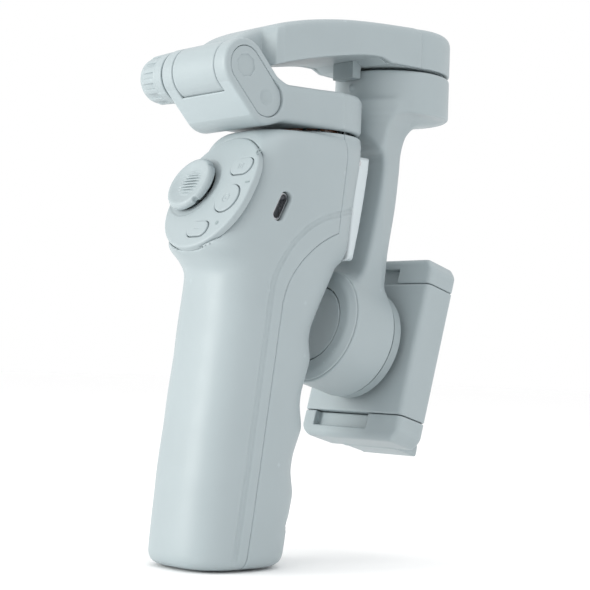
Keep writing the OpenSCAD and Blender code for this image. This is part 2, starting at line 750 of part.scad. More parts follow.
down() front_shell();
down() rear_shell();
down() tripod_nut();
down() shell_screws();
down() control_panel();
down() panel_marks();
down() joystick_module();
down() button_switches();
down() panel_board();
down() main_board();
down() battery_cell();
down() battery_holder();
down() usb_port();
down() trigger_pin();
down() trigger_switch();
down() pan_post();
down() pan_bearings();
down() pan_stator();
down() pan_coils();
down() joystick_gimbal();
down() joystick_cap();
down() mode_button();
down() record_button();
down() power_button();
down() trigger();
down() pan_arm();
down() pan_bell();
down() pan_magnets();
down() pan_shaft();
down() hinge_pin();
down() hinge_cap();
down() lock_knob();
down() upper_arm();
down() upper_arm_cover();
down() stop_block();
down() hinge_bushes();
down() tilt_post();
down() tilt_bearings();
down() tilt_stator();
down() tilt_coils();
down() roll_arm();
down() arm_cover();
down() tilt_bell();
down() tilt_magnets();
down() tilt_shaft();
down() roll_post();
down() roll_bearings();
down() roll_stator();
down() roll_coils();
down() roll_hub();
down() roll_bell();
down() roll_magnets();
down() roll_shaft();
down() clamp_body();
down() clamp_back();
down() upper_jaw();
down() lower_jaw();
down() jaw_pads_upper();
down() jaw_pads_lower();
down() clamp_pinion();
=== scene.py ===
"""Looks of a folding phone gimbal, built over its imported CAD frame.

Shapes are written in millimetres as signed distance formulas and turned into meshes by
skin(). Each stands for one CAD node, and small hidden parts keep their CAD solids.
"""
import json
import math

import bmesh
import bpy
import numpy as np
from mathutils import Matrix, Vector


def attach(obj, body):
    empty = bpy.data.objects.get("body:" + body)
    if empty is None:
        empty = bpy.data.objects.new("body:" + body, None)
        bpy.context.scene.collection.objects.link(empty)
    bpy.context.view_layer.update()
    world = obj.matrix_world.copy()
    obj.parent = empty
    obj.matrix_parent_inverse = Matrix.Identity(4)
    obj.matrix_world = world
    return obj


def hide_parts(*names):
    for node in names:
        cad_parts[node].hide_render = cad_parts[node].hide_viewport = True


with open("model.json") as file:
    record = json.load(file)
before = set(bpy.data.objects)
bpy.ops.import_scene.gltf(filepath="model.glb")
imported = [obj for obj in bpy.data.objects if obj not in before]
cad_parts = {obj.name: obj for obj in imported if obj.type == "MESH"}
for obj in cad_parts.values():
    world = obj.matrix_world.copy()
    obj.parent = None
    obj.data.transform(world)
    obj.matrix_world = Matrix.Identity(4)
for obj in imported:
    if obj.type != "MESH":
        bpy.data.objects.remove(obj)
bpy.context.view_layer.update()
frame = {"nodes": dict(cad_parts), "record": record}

MM = 0.001
COARSE = 1.0

# ---- sizes from the CAD model, in millimetres ----

# the foot's height in the frame that all these heights are given in
FOOT_Z = 4.4
PAN_Y, PAN_Z, PAN_R = 35, 138.4, 16.2
FOLD_Y, FOLD_Z, BARREL_R = -3.7, 154.6, 8.3
EAR_X, EAR_W, CHEEK_X, CHEEK_W, CHEEK_D = -13.4, 5.5, 7, 5.4, 8.6
KNOB_L, FLUTES = 13.2, 14
PIN_R = 2.5
TILT_Y, TILT_Z, MOTOR_R, CUP_H = 72, 163.6, 19.2, 14.4
ROLL_Y, ROLL_Z, ROLL_LEAN, RING_H = 40.2, 78.5, math.radians(15), 17.3
PANEL_Y, PANEL_Z, PANEL_TILT, PANEL_R = -3.8, 119, math.radians(28), 18
STACK_H, ROOM_R = 11, 14.2
CLAMP_W, CLAMP_T, CLAMP_N, BODY_V, JAW_V = 22.5, 12.6, -24, 22, 31
LIP_REACH = 9.5
PITCH_R, TEETH = 4.8, 12
STICK_AT, RECORD_AT, MODE_AT, POWER_AT = (-8.6, -0.5), (9.6, -5.6), (9.6, 5.9), (2.4, -16.2)
PORT_AT = (7.2, 112.8)
# trigger pin in y and z, shell screws in x and z, and the thread insert
TRIG_AT, TRIG_R = (43.4, 130.4), 1.0
SCREW_AT, SCREW_HEAD_R = (12.6, 17), 2.15
INSERT_R, INSERT_L = 5.4, 8
PAN_POST_R, WIRE_HOLE_R = 8.6, 3.4
STICK_R, RECORD_R = 9.2, 4.8
STICK_PIVOT = 8.6
COVER_R = 16.6
WALL = 2.2
GRIP_TOP = 137.4

# handle stations: height and front, back or half width
FRONT = [(0, -17.6), (11, -17.3), (29, -15.7), (47, -13.4), (68, -10.5), (88, -8.2),
         (93, -7.9), (97, -11.2), (100, -16.4), (110, -12.6), (120, -7.3), (130, -1.9),
         (134, 0.6), (136.4, 3.6), (137.4, 7)]
BACK = [(0, 20.2), (6, 20.8), (11, 21.6), (18, 22.6), (26, 24.4), (33, 22.9), (38, 23.7),
        (46, 27.2), (53, 25.8), (57, 26.2), (67, 29.8), (73, 28.6), (77, 29.2), (85, 33.4),
        (90, 36.2), (97.4, 40.2), (98.2, 43.4), (101, 44.8), (120, 47), (134, 49.2),
        (137.4, 50.4)]
HALF = [(0, 17.6), (20, 18), (90, 18), (98, 18.6), (104, 19.4), (130, 19.4), (134, 18.6),
        (136.4, 17.2), (137.4, 15.6)]
# joint line of the two shells and the groove in front of it, in y and z
JOINT = [(-1.8, 0), (9.6, 84), (11.4, 89.4), (14.2, 94.2), (17.8, 98.3), (22.4, 102.2),
         (27, 104.8), (32, 106.8), (34.8, 139)]
GROOVE = [(-6.4, -2), (4.9, 84), (5.9, 90), (8.2, 96), (12, 102), (17.6, 107), (24.6, 110.7),
          (32.6, 112.9), (41.3, 115.1), (52, 117.4)]


# ---- distance formulas ----

def both(a, b, k=0.0):
    """Where a and b overlap, with the edge rounded over about k."""
    if k <= 0:
        return np.maximum(a, b)
    h = np.clip(0.5 + 0.5 * (a - b) / k, 0, 1)
    return b * (1 - h) + a * h + k * h * (1 - h)


def either(a, b, k=0.0):
    """a and b joined, with a fillet of about k."""
    return -both(-a, -b, k)


def cut(a, b, k=0.0):
    """a without b."""
    return both(a, -b, k)


def span(a, lo, hi):
    return np.abs(a - (lo + hi) / 2) - (hi - lo) / 2


def disc(a, b, r, at=(0, 0)):
    return np.hypot(a - at[0], b - at[1]) - r


def slot(a, b, w, h, at=(0, 0)):
    return np.hypot(np.maximum(np.abs(a - at[0]) - (w - h) / 2, 0), b - at[1]) - h / 2


def rod(a, b, t, r, lo, hi, k=0.0, at=(0, 0)):
    """A cylinder of radius r along t."""
    return both(disc(a, b, r, at), span(t, lo, hi), k)


def slab(a, b, c, ra, rb, rc, k=0.0):
    """A box from three ranges."""
    return both(both(span(a, *ra), span(b, *rb), k), span(c, *rc), k)


def outline(a, b, points):
    """Signed distance to a closed polygon."""
    a, b = np.broadcast_arrays(a, b)
    near = np.full(a.shape, 1e9)
    sign = np.ones(a.shape)
    for (px, py), (qx, qy) in zip(points, points[-1:] + points[:-1]):
        ex, ey, wx, wy = qx - px, qy - py, a - px, b - py
        t = np.clip((wx * ex + wy * ey) / (ex * ex + ey * ey), 0, 1)
        near = np.minimum(near, (wx - ex * t) ** 2 + (wy - ey * t) ** 2)
        up, down, left = b >= py, b < qy, ex * wy > ey * wx
        sign = np.where((up & down & left) | (~up & ~down & ~left), -sign, sign)
    return sign * np.sqrt(near)


def along(a, b, points):
    """Distance to an open line."""
    a, b = np.broadcast_arrays(a, b)
    near = np.full(a.shape, 1e9)
    for (px, py), (qx, qy) in zip(points[:-1], points[1:]):
        ex, ey, wx, wy = qx - px, qy - py, a - px, b - py
        t = np.clip((wx * ex + wy * ey) / (ex * ex + ey * ey), 0, 1)
        near = np.minimum(near, (wx - ex * t) ** 2 + (wy - ey * t) ** 2)
    return np.sqrt(near)


def curved(points, steps=6):
    """The same line with smooth bends through its points."""
    p = [points[0]] + list(points) + [points[-1]]
    made = []
    for a, b, c, d in zip(p[:-3], p[1:-2], p[2:-1], p[3:]):
        for s in np.arange(steps) / steps:
            made.append(tuple(
                0.5 * (2 * b[i] + (c[i] - a[i]) * s
                       + (2 * a[i] - 5 * b[i] + 4 * c[i] - d[i]) * s * s
                       + (3 * b[i] - a[i] - 3 * c[i] + d[i]) * s ** 3) for i in (0, 1)))
    return made + [points[-1]]


def stations(pairs, sigma):
    """A smooth function through (height, value) pairs."""
    step = 0.25
    z = np.arange(pairs[0][0] - 8, pairs[-1][0] + 8, step)
    v = np.interp(z, *zip(*pairs))
    width = np.arange(-4 * sigma, 4 * sigma + step / 2, step)
    weight = np.exp(-0.5 * (width / sigma) ** 2)
    pad = len(width) // 2
    v = np.convolve(np.pad(v, pad, mode="edge"), weight / weight.sum(), mode="same")
    v = v[pad:len(v) - pad]
    return lambda h: np.interp(h, z, v)


# ---- from a formula to a mesh ----

def skin(name, shape, lo, hi, cell, place=None):
    """A closed quad mesh where shape(x, y, z) is zero: one vertex in each grid cell that
    the surface crosses, then moved onto the surface."""
    cell *= COARSE
    axes = [np.arange(a - 1.6 * cell, b + 1.6 * cell, cell) for a, b in zip(lo, hi)]
    value = np.broadcast_to(shape(*np.ix_(*axes)), [len(a) for a in axes])
    solid = value < 0
    size = [len(a) - 1 for a in axes]
    corners = [(i, j, k) for i in (0, 1) for j in (0, 1) for k in (0, 1)]
    inside = sum(solid[i:i + size[0], j:j + size[1], k:k + size[2]].astype(np.int8)
                 for i, j, k in corners)
    cells = np.argwhere((inside > 0) & (inside < 8))
    number = np.full(size, -1)
    number[tuple(cells.T)] = np.arange(len(cells))
    at = {c: value[tuple((cells + c).T)] for c in corners}
    total, hits = np.zeros((len(cells), 3)), np.zeros(len(cells))
    for a in corners:
        for axis in range(3):
            if a[axis]:
                continue
            b = tuple(1 if i == axis else a[i] for i in range(3))
            crosses = (at[a] < 0) != (at[b] < 0)
            t = np.where(crosses, at[a] / np.where(crosses, at[a] - at[b], 1), 0)
            total += crosses[:, None] * (np.array(a) + t[:, None] * np.eye(3)[axis])
            hits += crosses
    p = np.array([a[0] for a in axes]) + cell * (cells + total / hits[:, None])
    h = cell * 0.08
    for _ in range(4):
        f = shape(*p.T)
        slope = np.stack([(shape(*(p + h * e).T) - shape(*(p - h * e).T)) / (2 * h)
                          for e in np.eye(3)], 1)
        step = slope * (f / np.maximum((slope ** 2).sum(1), 0.2))[:, None]
        length = np.linalg.norm(step, axis=1, keepdims=True)
        p = p - step * np.minimum(1, 0.45 * cell / np.maximum(length, 1e-9))
    quads = []
    for axis in range(3):
        u, v = (axis + 1) % 3, (axis + 2) % 3
        first = np.take(solid, range(size[axis]), axis)
        edges = np.argwhere(first != np.take(solid, range(1, size[axis] + 1), axis))
        ring = []
        for du, dv in ((1, 1), (0, 1), (0, 0), (1, 0)):
            c = edges.copy()
            c[:, u] -= du
            c[:, v] -= dv
            ring.append(number[tuple(c.T)])
        ring = np.stack(ring, 1)
        out = first[tuple(edges.T)]
        quads.append(np.where(out[:, None], ring, ring[:, ::-1]))
    mesh = bpy.data.meshes.new(name)
    p = p * MM
    if place is None:
        place = ROW
    p = p @ np.array(place.to_3x3()).T + np.array(place.translation)
    mesh.from_pydata(p.tolist(), [], np.vstack(quads).tolist())
    mesh.polygons.foreach_set("use_smooth", [True] * len(mesh.polygons))
    o = bpy.data.objects.new(name, mesh)
    bpy.context.scene.collection.objects.link(o)
    return o


def turned(origin, tilt):
    """Matrix of a frame whose local y leans back by tilt from +Z and local z faces -Y."""
    m = Matrix.Rotation(math.pi / 2 - tilt, 4, "X")
    m.translation = Vector(origin) * MM
    return m


ROW = Matrix.Translation((0, 0, -FOOT_Z * MM))
PANEL = turned((0, PANEL_Y, PANEL_Z - FOOT_Z), PANEL_TILT)
ROLL = turned((0, ROLL_Y, ROLL_Z - FOOT_Z), ROLL_LEAN)


def lean(y, z, y0, z0, tilt):
    """Up and outward coordinates of such a frame."""
    s, c = math.sin(tilt), math.cos(tilt)
    return (y - y0) * s + (z - z0) * c, (z - z0) * s - (y - y0) * c


def panel_coords(y, z):
    return lean(y, z, PANEL_Y, PANEL_Z, PANEL_TILT)


def roll_coords(y, z):
    return lean(y, z, ROLL_Y, ROLL_Z, ROLL_LEAN)


# ---- materials ----

def node(tree, kind, x, y, **values):
    n = tree.nodes.new(kind)
    n.location = (x, y)
    for key, value in values.items():
        if hasattr(n, key):
            setattr(n, key, value)
        else:
            n.inputs[key.replace("_", " ")].default_value = value
    return n


def material(name, colour, roughness, grain=0.0, grain_scale=2600, mottle=0.05,
             metallic=0.0, coat=0.0, wear=0.0, sheen=0.0, strands=None, rough_spread=0.12):
    """A moulded or machined surface: colour mottling, uneven gloss and fine grain."""
    m = bpy.data.materials.new(name)
    m.use_nodes = True
    t = m.node_tree
    t.nodes.clear()
    out = node(t, "ShaderNodeOutputMaterial", 900, 0)
    s = node(t, "ShaderNodeBsdfPrincipled", 600, 0, Metallic=metallic)
    s.inputs["Coat Weight"].default_value = coat
    s.inputs["Coat Roughness"].default_value = 0.25
    s.inputs["Sheen Weight"].default_value = sheen
    t.links.new(s.outputs["BSDF"], out.inputs["Surface"])
    where = node(t, "ShaderNodeTexCoord", -1100, 0)
    # slow change of colour over the piece
    slow = node(t, "ShaderNodeTexNoise", -850, 250, Scale=38.0, Detail=3.0, Roughness=0.55)
    t.links.new(where.outputs["Object"], slow.inputs["Vector"])
    ramp = node(t, "ShaderNodeValToRGB", -600, 250)
    dark = [c * (1 - mottle) for c in colour]
    light = [min(1, c * (1 + mottle * 0.6)) for c in colour]
    ramp.color_ramp.elements[0].position, ramp.color_ramp.elements[1].position = 0.3, 0.7
    ramp.color_ramp.elements[0].color = (*dark, 1)
    ramp.color_ramp.elements[1].color = (*light, 1)
    t.links.new(slow.outputs["Fac"], ramp.inputs["Fac"])
    base = ramp.outputs["Color"]
    if wear:
        # corners are rubbed lighter
        edge = node(t, "ShaderNodeNewGeometry", -850, 500)
        band = node(t, "ShaderNodeMapRange", -600, 500)
        band.inputs["From Min"].default_value = 0.50
        band.inputs["From Max"].default_value = 0.62
        t.links.new(edge.outputs["Pointiness"], band.inputs["Value"])
        mix = node(t, "ShaderNodeMix", -250, 350, data_type="RGBA")
        t.links.new(band.outputs["Result"], mix.inputs["Factor"])
        t.links.new(base, mix.inputs[6])
        mix.inputs[7].default_value = (*[min(1, c * (1 + wear)) for c in colour], 1)
        base = mix.outputs[2]
    t.links.new(base, s.inputs["Base Color"])
    # uneven gloss
    gloss = node(t, "ShaderNodeTexNoise", -850, -50, Scale=160.0, Detail=4.0)
    t.links.new(where.outputs["Object"], gloss.inputs["Vector"])
    spread = node(t, "ShaderNodeMapRange", -600, -50)
    spread.inputs["To Min"].default_value = roughness - rough_spread / 2
    spread.inputs["To Max"].default_value = roughness + rough_spread / 2
    t.links.new(gloss.outputs["Fac"], spread.inputs["Value"])
    t.links.new(spread.outputs["Result"], s.inputs["Roughness"])
    if strands:
        lines = node(t, "ShaderNodeTexWave", -850, -350, Scale=strands, Distortion=0.4,
                     bands_direction="Z")
        lines.inputs["Detail"].default_value = 1.0
        texture = lines.outputs["Fac"]
        t.links.new(where.outputs["Object"], lines.inputs["Vector"])
    else:
        fine = node(t, "ShaderNodeTexNoise", -850, -350, Scale=grain_scale, Detail=2.0)
        t.links.new(where.outputs["Object"], fine.inputs["Vector"])
        texture = fine.outputs["Fac"]
    bump = node(t, "ShaderNodeBump", 300, -300, Distance=0.0001)
    bump.inputs["Strength"].default_value = grain
    t.links.new(texture, bump.inputs["Height"])
    t.links.new(bump.outputs["Normal"], s.inputs["Normal"])
    return m


SHELL = (0.350, 0.406, 0.424)
LOOKS = {
    "shell_plastic": material("shell_plastic", SHELL, 0.46, grain=0.16, mottle=0.03,
                              wear=0.10),
    # the trigger's lighter colour is painted light: a lit copy of the shell colour that stands
    # in for the light falling on its side face
    "trigger_plastic": material("trigger_plastic", (0.57, 0.635, 0.66), 0.42, grain=0.12,
                                mottle=0.02, wear=0.05),
    "gear_plastic": material("gear_plastic", (0.80, 0.80, 0.76), 0.4, grain=0.08),
    "hub_plastic": material("hub_plastic", (0.285, 0.335, 0.35), 0.5, grain=0.16, wear=0.1),
    "mark_print": material("mark_print", (0.26, 0.32, 0.33), 0.5, grain=0.05),
    "black_plastic": material("black_plastic", (0.02, 0.02, 0.022), 0.45, grain=0.2),
    "circuit_board": material("circuit_board", (0.02, 0.11, 0.05), 0.35, grain=0.1,
                              grain_scale=900, mottle=0.3, coat=0.4),
    "cell_wrap": material("cell_wrap", (0.08, 0.16, 0.30), 0.3, grain=0.1, coat=0.3),
    "brass": material("brass", (0.70, 0.50, 0.20), 0.28, metallic=1, grain=0.3,
                      strands=900.0),
    "steel": material("steel", (0.55, 0.56, 0.58), 0.26, metallic=1, grain=0.3,
                      strands=1100.0),
    "motor_iron": material("motor_iron", (0.05, 0.052, 0.056), 0.42, metallic=0.6,
                           grain=0.25, strands=1400.0),
    "magnet": material("magnet", (0.62, 0.62, 0.64), 0.2, metallic=1, grain=0.1),
    "copper_wire": material("copper_wire", (0.45, 0.15, 0.06), 0.3, metallic=0.7,
                            grain=0.6, strands=1500.0, coat=0.5),
    "rubber": material("rubber", (0.10, 0.125, 0.13), 0.75, grain=0.5, grain_scale=1500,
                       sheen=0.15),
}


def finish_with(o, name):
    o.data.materials.clear()
    o.data.materials.append(LOOKS[name])


SLOTS = {s["node"]: s["material_slot"] for s in frame["record"]["subparts"]}
BODY_OF = {n: body for body, nodes in frame["record"]["behaviour"]["bodies"].items()
           for n in nodes}


def stand_for(o, cad):
    """o takes the place, the body and the finish of one CAD node."""
    finish_with(o, SLOTS[cad])
    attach(o, BODY_OF[cad])
    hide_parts(cad)
    return o


# ---- handle ----

front_at, back_at, half_at = (stations(FRONT, 1.3), stations(BACK, 1.1),
                              stations(HALF, 1.6))
joint_line, groove_line = curved(JOINT[1:8]), curved(GROOVE[1:])
BEHIND = [(-1.8, -9), JOINT[0]] + joint_line + [JOINT[-1], (34.8, 145), (90, 145), (90, -9)]


def grip(x, y, z):
    """The handle's skin before anything is cut from it."""
    h = np.clip(z, 0, GRIP_TOP)
    f, b, a = front_at(h), back_at(h), half_at(h)
    c, d = (f + b) / 2, (b - f) / 2
    q = ((np.abs(x) / a) ** 2.7 + (np.abs(y - c) / d) ** 2.7) ** (1 / 2.7)
    r = np.hypot(x, y - c)
    return r - r / np.maximum(q, 1e-3)


def handle(x, y, z):
    """Both shells in one, hollow, before the joint."""
    n = panel_coords(y, z)[1]
    skin_d = grip(x, y, z)
    # broad slanted rim round the control panel
    rim = skin_d * 0.97 + (n + 4.6) * 0.16
    body = both(both(skin_d, rim, 0.25), n, 1.0)
    body = both(both(body, z - GRIP_TOP + 0.2, 1.6), FOOT_Z - z, 4.5)
    body = either(body, rod(x, y, z, PAN_R, PAN_Z - 3, PAN_Z, 0.8, (0, PAN_Y)), 0.5)
    line = along(y, z, [GROOVE[0]] + groove_line)
    body = cut(body, both(line - 0.75, -(skin_d + 0.45), 0.2), 0.35)
    inner = both(both(skin_d + WALL, n + 5.2), both(FOOT_Z + 3.2 - z, z - 133.4))
    body = cut(body, inner)
    for r, lo, hi in ((WIRE_HOLE_R, PAN_Z - 8.4, 150), (PAN_POST_R, PAN_Z - 1.4, 150)):
        body = cut(body, rod(x, y, z, r, lo, hi, 0, (0, PAN_Y)))
    body = cut(body, rod(x, y, z, INSERT_R, FOOT_Z - 1, FOOT_Z + INSERT_L), 0.3)
    return body


def front_shell(x, y, z):
    v, n = panel_coords(y, z)
    body = both(handle(x, y, z), -outline(y, z, BEHIND), 0.5)
    seat = both(slot(v, x, 4.1 + 2 * PANEL_R + 0.3, 2 * PANEL_R + 0.3, (-2.55, 0)),
                span(n, -1.6, 9))
    body = cut(body, seat, 0.35)
    open_from = span(n, -7.2, 9)
    holes = either(disc(x, v, 8.2, STICK_AT), disc(x, v, 3.4, RECORD_AT))
    holes = either(holes, slot(x, v, 7.4, 4, MODE_AT))
    holes = either(holes, slot(x, v, 7.4, 3.4, POWER_AT))
    body = cut(body, both(holes, open_from))
    s, c = math.sin(PANEL_TILT), math.cos(PANEL_TILT)
    up = (y - PORT_AT[0]) * s + (z - PORT_AT[1]) * c
    across = (y - PORT_AT[0]) * c - (z - PORT_AT[1]) * s
    port = both(slot(up, across, 9.8, 3.8), 14 - x)
    return cut(body, port, 0.55)


def rear_shell(x, y, z):
    body = both(handle(x, y, z), outline(y, z, BEHIND), 0.5)
    pocket = both(span(x, -13.5, 13.5), outline(y, z, [
        (33, 98.8), (60, 98.8), (62, 134.6), (41.6, 134.6)]), 0.8)
    body = cut(body, pocket, 0.5)
    body = cut(body, rod(y, z, x, TRIG_R + 0.04, -14.3, 14.3, 0, TRIG_AT))
    for s in (-1, 1):
        body = cut(body, rod(x, z, y, SCREW_HEAD_R, 12.4, 32, 0,
                             (s * SCREW_AT[0], SCREW_AT[1])), 0.25)
    return body


def trigger(x, y, z):
    """A tapered pull lever with a shallow hollow for the finger."""
    side = outline(y, z, [(42.1, 132.9), (52.9, 133.6), (52.6, 129), (50.6, 119), (48.2, 109),
                          (45.3, 99.4), (41, 99.2), (41.2, 103)])
    width = 13 - np.clip(y - (41.2 + (z - 99) * 0.1), 0, 12) * 0.36
    body = both(side, (np.abs(x) - width) * 0.94, 2.2)
    body = cut(body, both(span(x, -11, 11), outline(y, z, [
        (30, 108), (43.4, 108), (43.8, 112), (44.2, 128), (30, 128)])), 0.2)
    return cut(body, rod(y, z, x, TRIG_R + 0.06, -20, 20, 0, TRIG_AT))


# ---- control panel, in its own frame ----

def control_panel(x, v, n):
    plate = both(slot(v, x, 4.1 + 2 * PANEL_R, 2 * PANEL_R, (-2.55, 0)), n - 0.6, 0.75)
    plate = both(plate, -1.6 - n)
    # shallow saucer round the stick
    plate = cut(plate, both(disc(x, v, 10.4, STICK_AT), 0.42 - n, 0.3), 0.25)
    plate = cut(plate, disc(x, v, 7.8, STICK_AT), 0.3)
    plate = cut(plate, disc(x, v, RECORD_R + 0.25, RECORD_AT), 0.3)
    plate = cut(plate, slot(x, v, 9.7, 6.3, MODE_AT), 0.3)
    return cut(plate, slot(x, v, 9.5, 5.7, POWER_AT), 0.3)


def joystick_cap(x, v, n):
    x, v = x - STICK_AT[0], v - STICK_AT[1]
    r = np.hypot(x, v)
    collar = both(both(r - STICK_R, (r - 8.9 + (n - 3.4)) * 0.7, 0.5), span(n, 1.7, 4.1),
                  0.5)
    bowl = np.sqrt(r * r + (n - 23.2) ** 2) - 20.6
    cap = either(collar, both(r - 4.5, span(n, -0.4, 2.1), 0.3), 0.3)
    cap = cut(cap, bowl, 0.5)
    for a in range(4):
        t = math.pi / 4 + a * math.pi / 2
        cap = cut(cap, disc(x, v, 0.8, (STICK_R * math.cos(t), STICK_R * math.sin(t))), 0.3)
    crown = n - 3.55 + 0.016 * r * r
    for k in range(-5, 6):
        half = math.sqrt(42 - k * k) - 0.6
        rib = both(both(span(x, -half, half), np.abs(v - 1.05 * k) - 0.26, 0.25),
                   both(crown, 2.3 - n), 0.25)
        cap = either(cap, rib, 0.15)
    cap = either(cap, rod(x, v, n, 1.6, -STICK_PIVOT, 0.4), 0.2)
    return either(cap, rod(x, n + STICK_PIVOT, v, 0.7, -4.8, 4.8), 0.1)


def key(outline_d, n, mark):
    """A nearly flush button with an engraved mark."""
    cap = both(outline_d, span(n, -0.6, 1.0), 0.35)
    return cut(cap, both(mark, 0.86 - n, 0.05), 0.06)


def mode_button(x, v, n):
    a, b = x - MODE_AT[0], v - MODE_AT[1]
    mark = np.minimum(slot(b, a, 2.0, 0.34, (0, -0.9)), slot(b, a, 2.0, 0.34, (0, 0.9)))
    mark = np.minimum(mark, slot(b, a, 1.2, 0.34, (0, 0)))
    cap = key(slot(x, v, 9.2, 5.8, MODE_AT), n, mark)
    return either(cap, rod(x, v, n, 1.3, -4.6, 0, 0, MODE_AT), 0.1)


def record_button(x, v, n):
    mark = np.abs(disc(x, v, 1.35, RECORD_AT)) - 0.2
    mark = np.minimum(mark, disc(x, v, 0.5, RECORD_AT))
    cap = key(disc(x, v, RECORD_R, RECORD_AT), n, mark)
    return either(cap, rod(x, v, n, 1.3, -4.6, 0, 0, RECORD_AT), 0.1)


def power_button(x, v, n):
    mark = slot(x, v, 2.8, 0.4, POWER_AT)
    cap = key(slot(x, v, 9, 5.2, POWER_AT), n, mark)
    return either(cap, rod(x, v, n, 1.3, -4.6, 0, 0, POWER_AT), 0.1)


# ---- pan arm and fold hinge ----

def cheek(y, z, r):
    """Rounded outline of the hinge ears."""
    a, b = y - FOLD_Y, z - FOLD_Z
    t = np.clip((a - b) / (2 * CHEEK_D), 0, 1)
    return np.hypot(a - t * CHEEK_D, b + t * CHEEK_D) - r


def pan_arm(x, y, z):
    ears = both(cheek(y, z, BARREL_R), span(x, EAR_X - EAR_W, CHEEK_X + CHEEK_W), 1.5)
    plan = either(disc(x, y, PAN_R, (0, PAN_Y)), outline(x, y, [
        (EAR_X - EAR_W + 0.5, 3.9), (CHEEK_X + CHEEK_W - 0.3, 3.9),
        (PAN_R - 0.1, PAN_Y - 1.4), (0.1 - PAN_R, PAN_Y - 1.4)]), 2)
    top = outline(y, z, [(0, 139.4), (60, 139.4), (60, 147.6), (50.5, 150.9), (42, 151.7),
                         (14, 151.3), (10, 151.9), (2.2, 151.9), (0, 146)])
    arm = either(ears, both(plan, top, 2.0), 1.6)
    # room for the barrel and the arm between the ears
    gap = either(disc(y, z, BARREL_R + 0.3, (FOLD_Y, FOLD_Z)), outline(y, z, [
        (FOLD_Y - 1, FOLD_Z - 1), (FOLD_Y + 30, FOLD_Z - 5.3), (FOLD_Y + 30, FOLD_Z + 14),
        (FOLD_Y - 1, FOLD_Z + 14)]))
    arm = cut(arm, both(gap, span(x, EAR_X, CHEEK_X)), 0.25)
    arm = cut(arm, rod(y, z, x, PIN_R + 0.02, -40, CHEEK_X + 3, 0, (FOLD_Y, FOLD_Z)))
    seat = both(cheek(y, z, BARREL_R - 2.3), CHEEK_X + CHEEK_W - 1.8 - x)
    arm = cut(arm, seat, 0.3)
    arm = cut(arm, rod(x, y, z, ROOM_R, PAN_Z - 1, PAN_Z + STACK_H, 0, (0, PAN_Y)), 0.3)
    return cut(arm, slab(x, y, z, (-4, 4), (0, 24), (PAN_Z + 4, PAN_Z + 10)))


def hinge_cap(x, y, z):
    """Cover with a many-sided facet and a round dimple, both plain."""
    face = CHEEK_X + CHEEK_W - 0.15
    cap = both(cheek(y, z, BARREL_R - 2.45), span(x, face - 1.6, face), 0.3)
    a, b = y - FOLD_Y, z - FOLD_Z
    facet = np.max([a * math.cos(t) + b * math.sin(t) for t in
                    np.arange(8) * math.pi / 4 + 0.2], axis=0) - 3.3
    cap = cut(cap, both(facet, face - 0.35 - x, 0.1), 0.15)
    a, b = a - CHEEK_D, b + CHEEK_D
    bowl = np.sqrt(a * a + b * b + (x - face - 3.2) ** 2) - 4.1
    return cut(cap, bowl, 0.25)


def lock_knob(x, y, z):
    a, b = y - FOLD_Y, z - FOLD_Z
    out = EAR_X - EAR_W - 0.3 - x
    r, turn = np.hypot(a, b), np.arctan2(b, a)
    knob = outline(r, out, [(-4, 0), (7.9, 0), (8.05, 0.5), (8.05, 2.9), (7.8, 9.4),
                            (7.1, 11.6), (6.0, 12.8), (4.7, KNOB_L), (-4, KNOB_L)])
    knob = both(knob, -out, 0.4)
    # narrow line between the collar and the grip
    knob = cut(knob, np.hypot(r - 8.15, (out - 3.3) * 0.8) - 0.22, 0.15)
    # long flutes that fade towards the collar
    step = 2 * math.pi / FLUTES
    near = (np.mod(turn + step / 2, step) - step / 2) * r
    depth = 1.15 * np.clip((out - 3.9) / 1.2, 0, 1)
    flute = both(np.abs(near) - 0.85, (9.1 - depth - 0.9) - r + 0.02 * out, 0.35)
    flute = both(flute, 4.0 - out, 0.5)
    knob = cut(knob, flute, 0.4)
    return cut(knob, rod(y, z, out, PIN_R + 0.1, -1, 8.6, 0, (FOLD_Y, FOLD_Z)))


# ---- upper arm ----

ARM_TOP = curved([(-6, 160.6), (0, 165.4), (6, 168.4), (13, 170.9), (22, 173.2), (32, 175),
                  (42, 176.2), (56, 177.1), (72, 177.6), (94, 177.2)])
ARM_LOW = curved([(50, 165.4), (43, 165), (33, 163.2), (23, 161), (13, 158.2), (5, 155.4),
                  (-2, 152.6)])


def arm_plan(x, y, g):
    stem = outline(x, y, [
        (12.6 - g, 11.2 + g), (MOTOR_R - 0.4 - g, TILT_Y - 6), (g + 0.4 - MOTOR_R, TILT_Y - 6),
        (g - 12.6, 11.2 + g), (EAR_X + 0.3 + g, 8), (EAR_X + 0.3 + g, -3.6),
        (CHEEK_X - 0.4 - g, -3.6), (CHEEK_X - 0.4 - g, 7 + g), (11.6 - g, 8.9 + g)])
    return either(disc(x, y, MOTOR_R - g, (0, TILT_Y)), stem, 0.8)


def upper_arm(x, y, z):
    plan = arm_plan(x, y, 0)
    side = outline(y, z, ARM_TOP + [(94, TILT_Z + 0.5), (54, TILT_Z + 0.5)] + ARM_LOW)
    top = z - np.interp(y, *zip(*ARM_TOP))
    arm = both(both(plan, side, 0.6), both(plan, top * 0.97, 3.4))
    arm = either(arm, rod(y, z, x, BARREL_R, EAR_X + 0.3, CHEEK_X - 0.3, 0.5,
                          (FOLD_Y, FOLD_Z)), 1.2)
    room = both(arm_plan(x, y, 1.8), outline(y, z, [
        (10, 167), (13, 168.4), (22, 170.9), (32, 172.8), (42, 174.1), (56, 175.1),
        (72, 175.5), (90, 174.6), (93, 173), (93, 160), (53, 163), (50, 163), (43, 163),
        (33, 161), (23, 158), (13, 155), (10, 154)]))
    arm = cut(arm, room)
    return cut(arm, rod(y, z, x, PIN_R + 1.3, -30, 30, 0, (FOLD_Y, FOLD_Z)))


# ---- roll arm ----

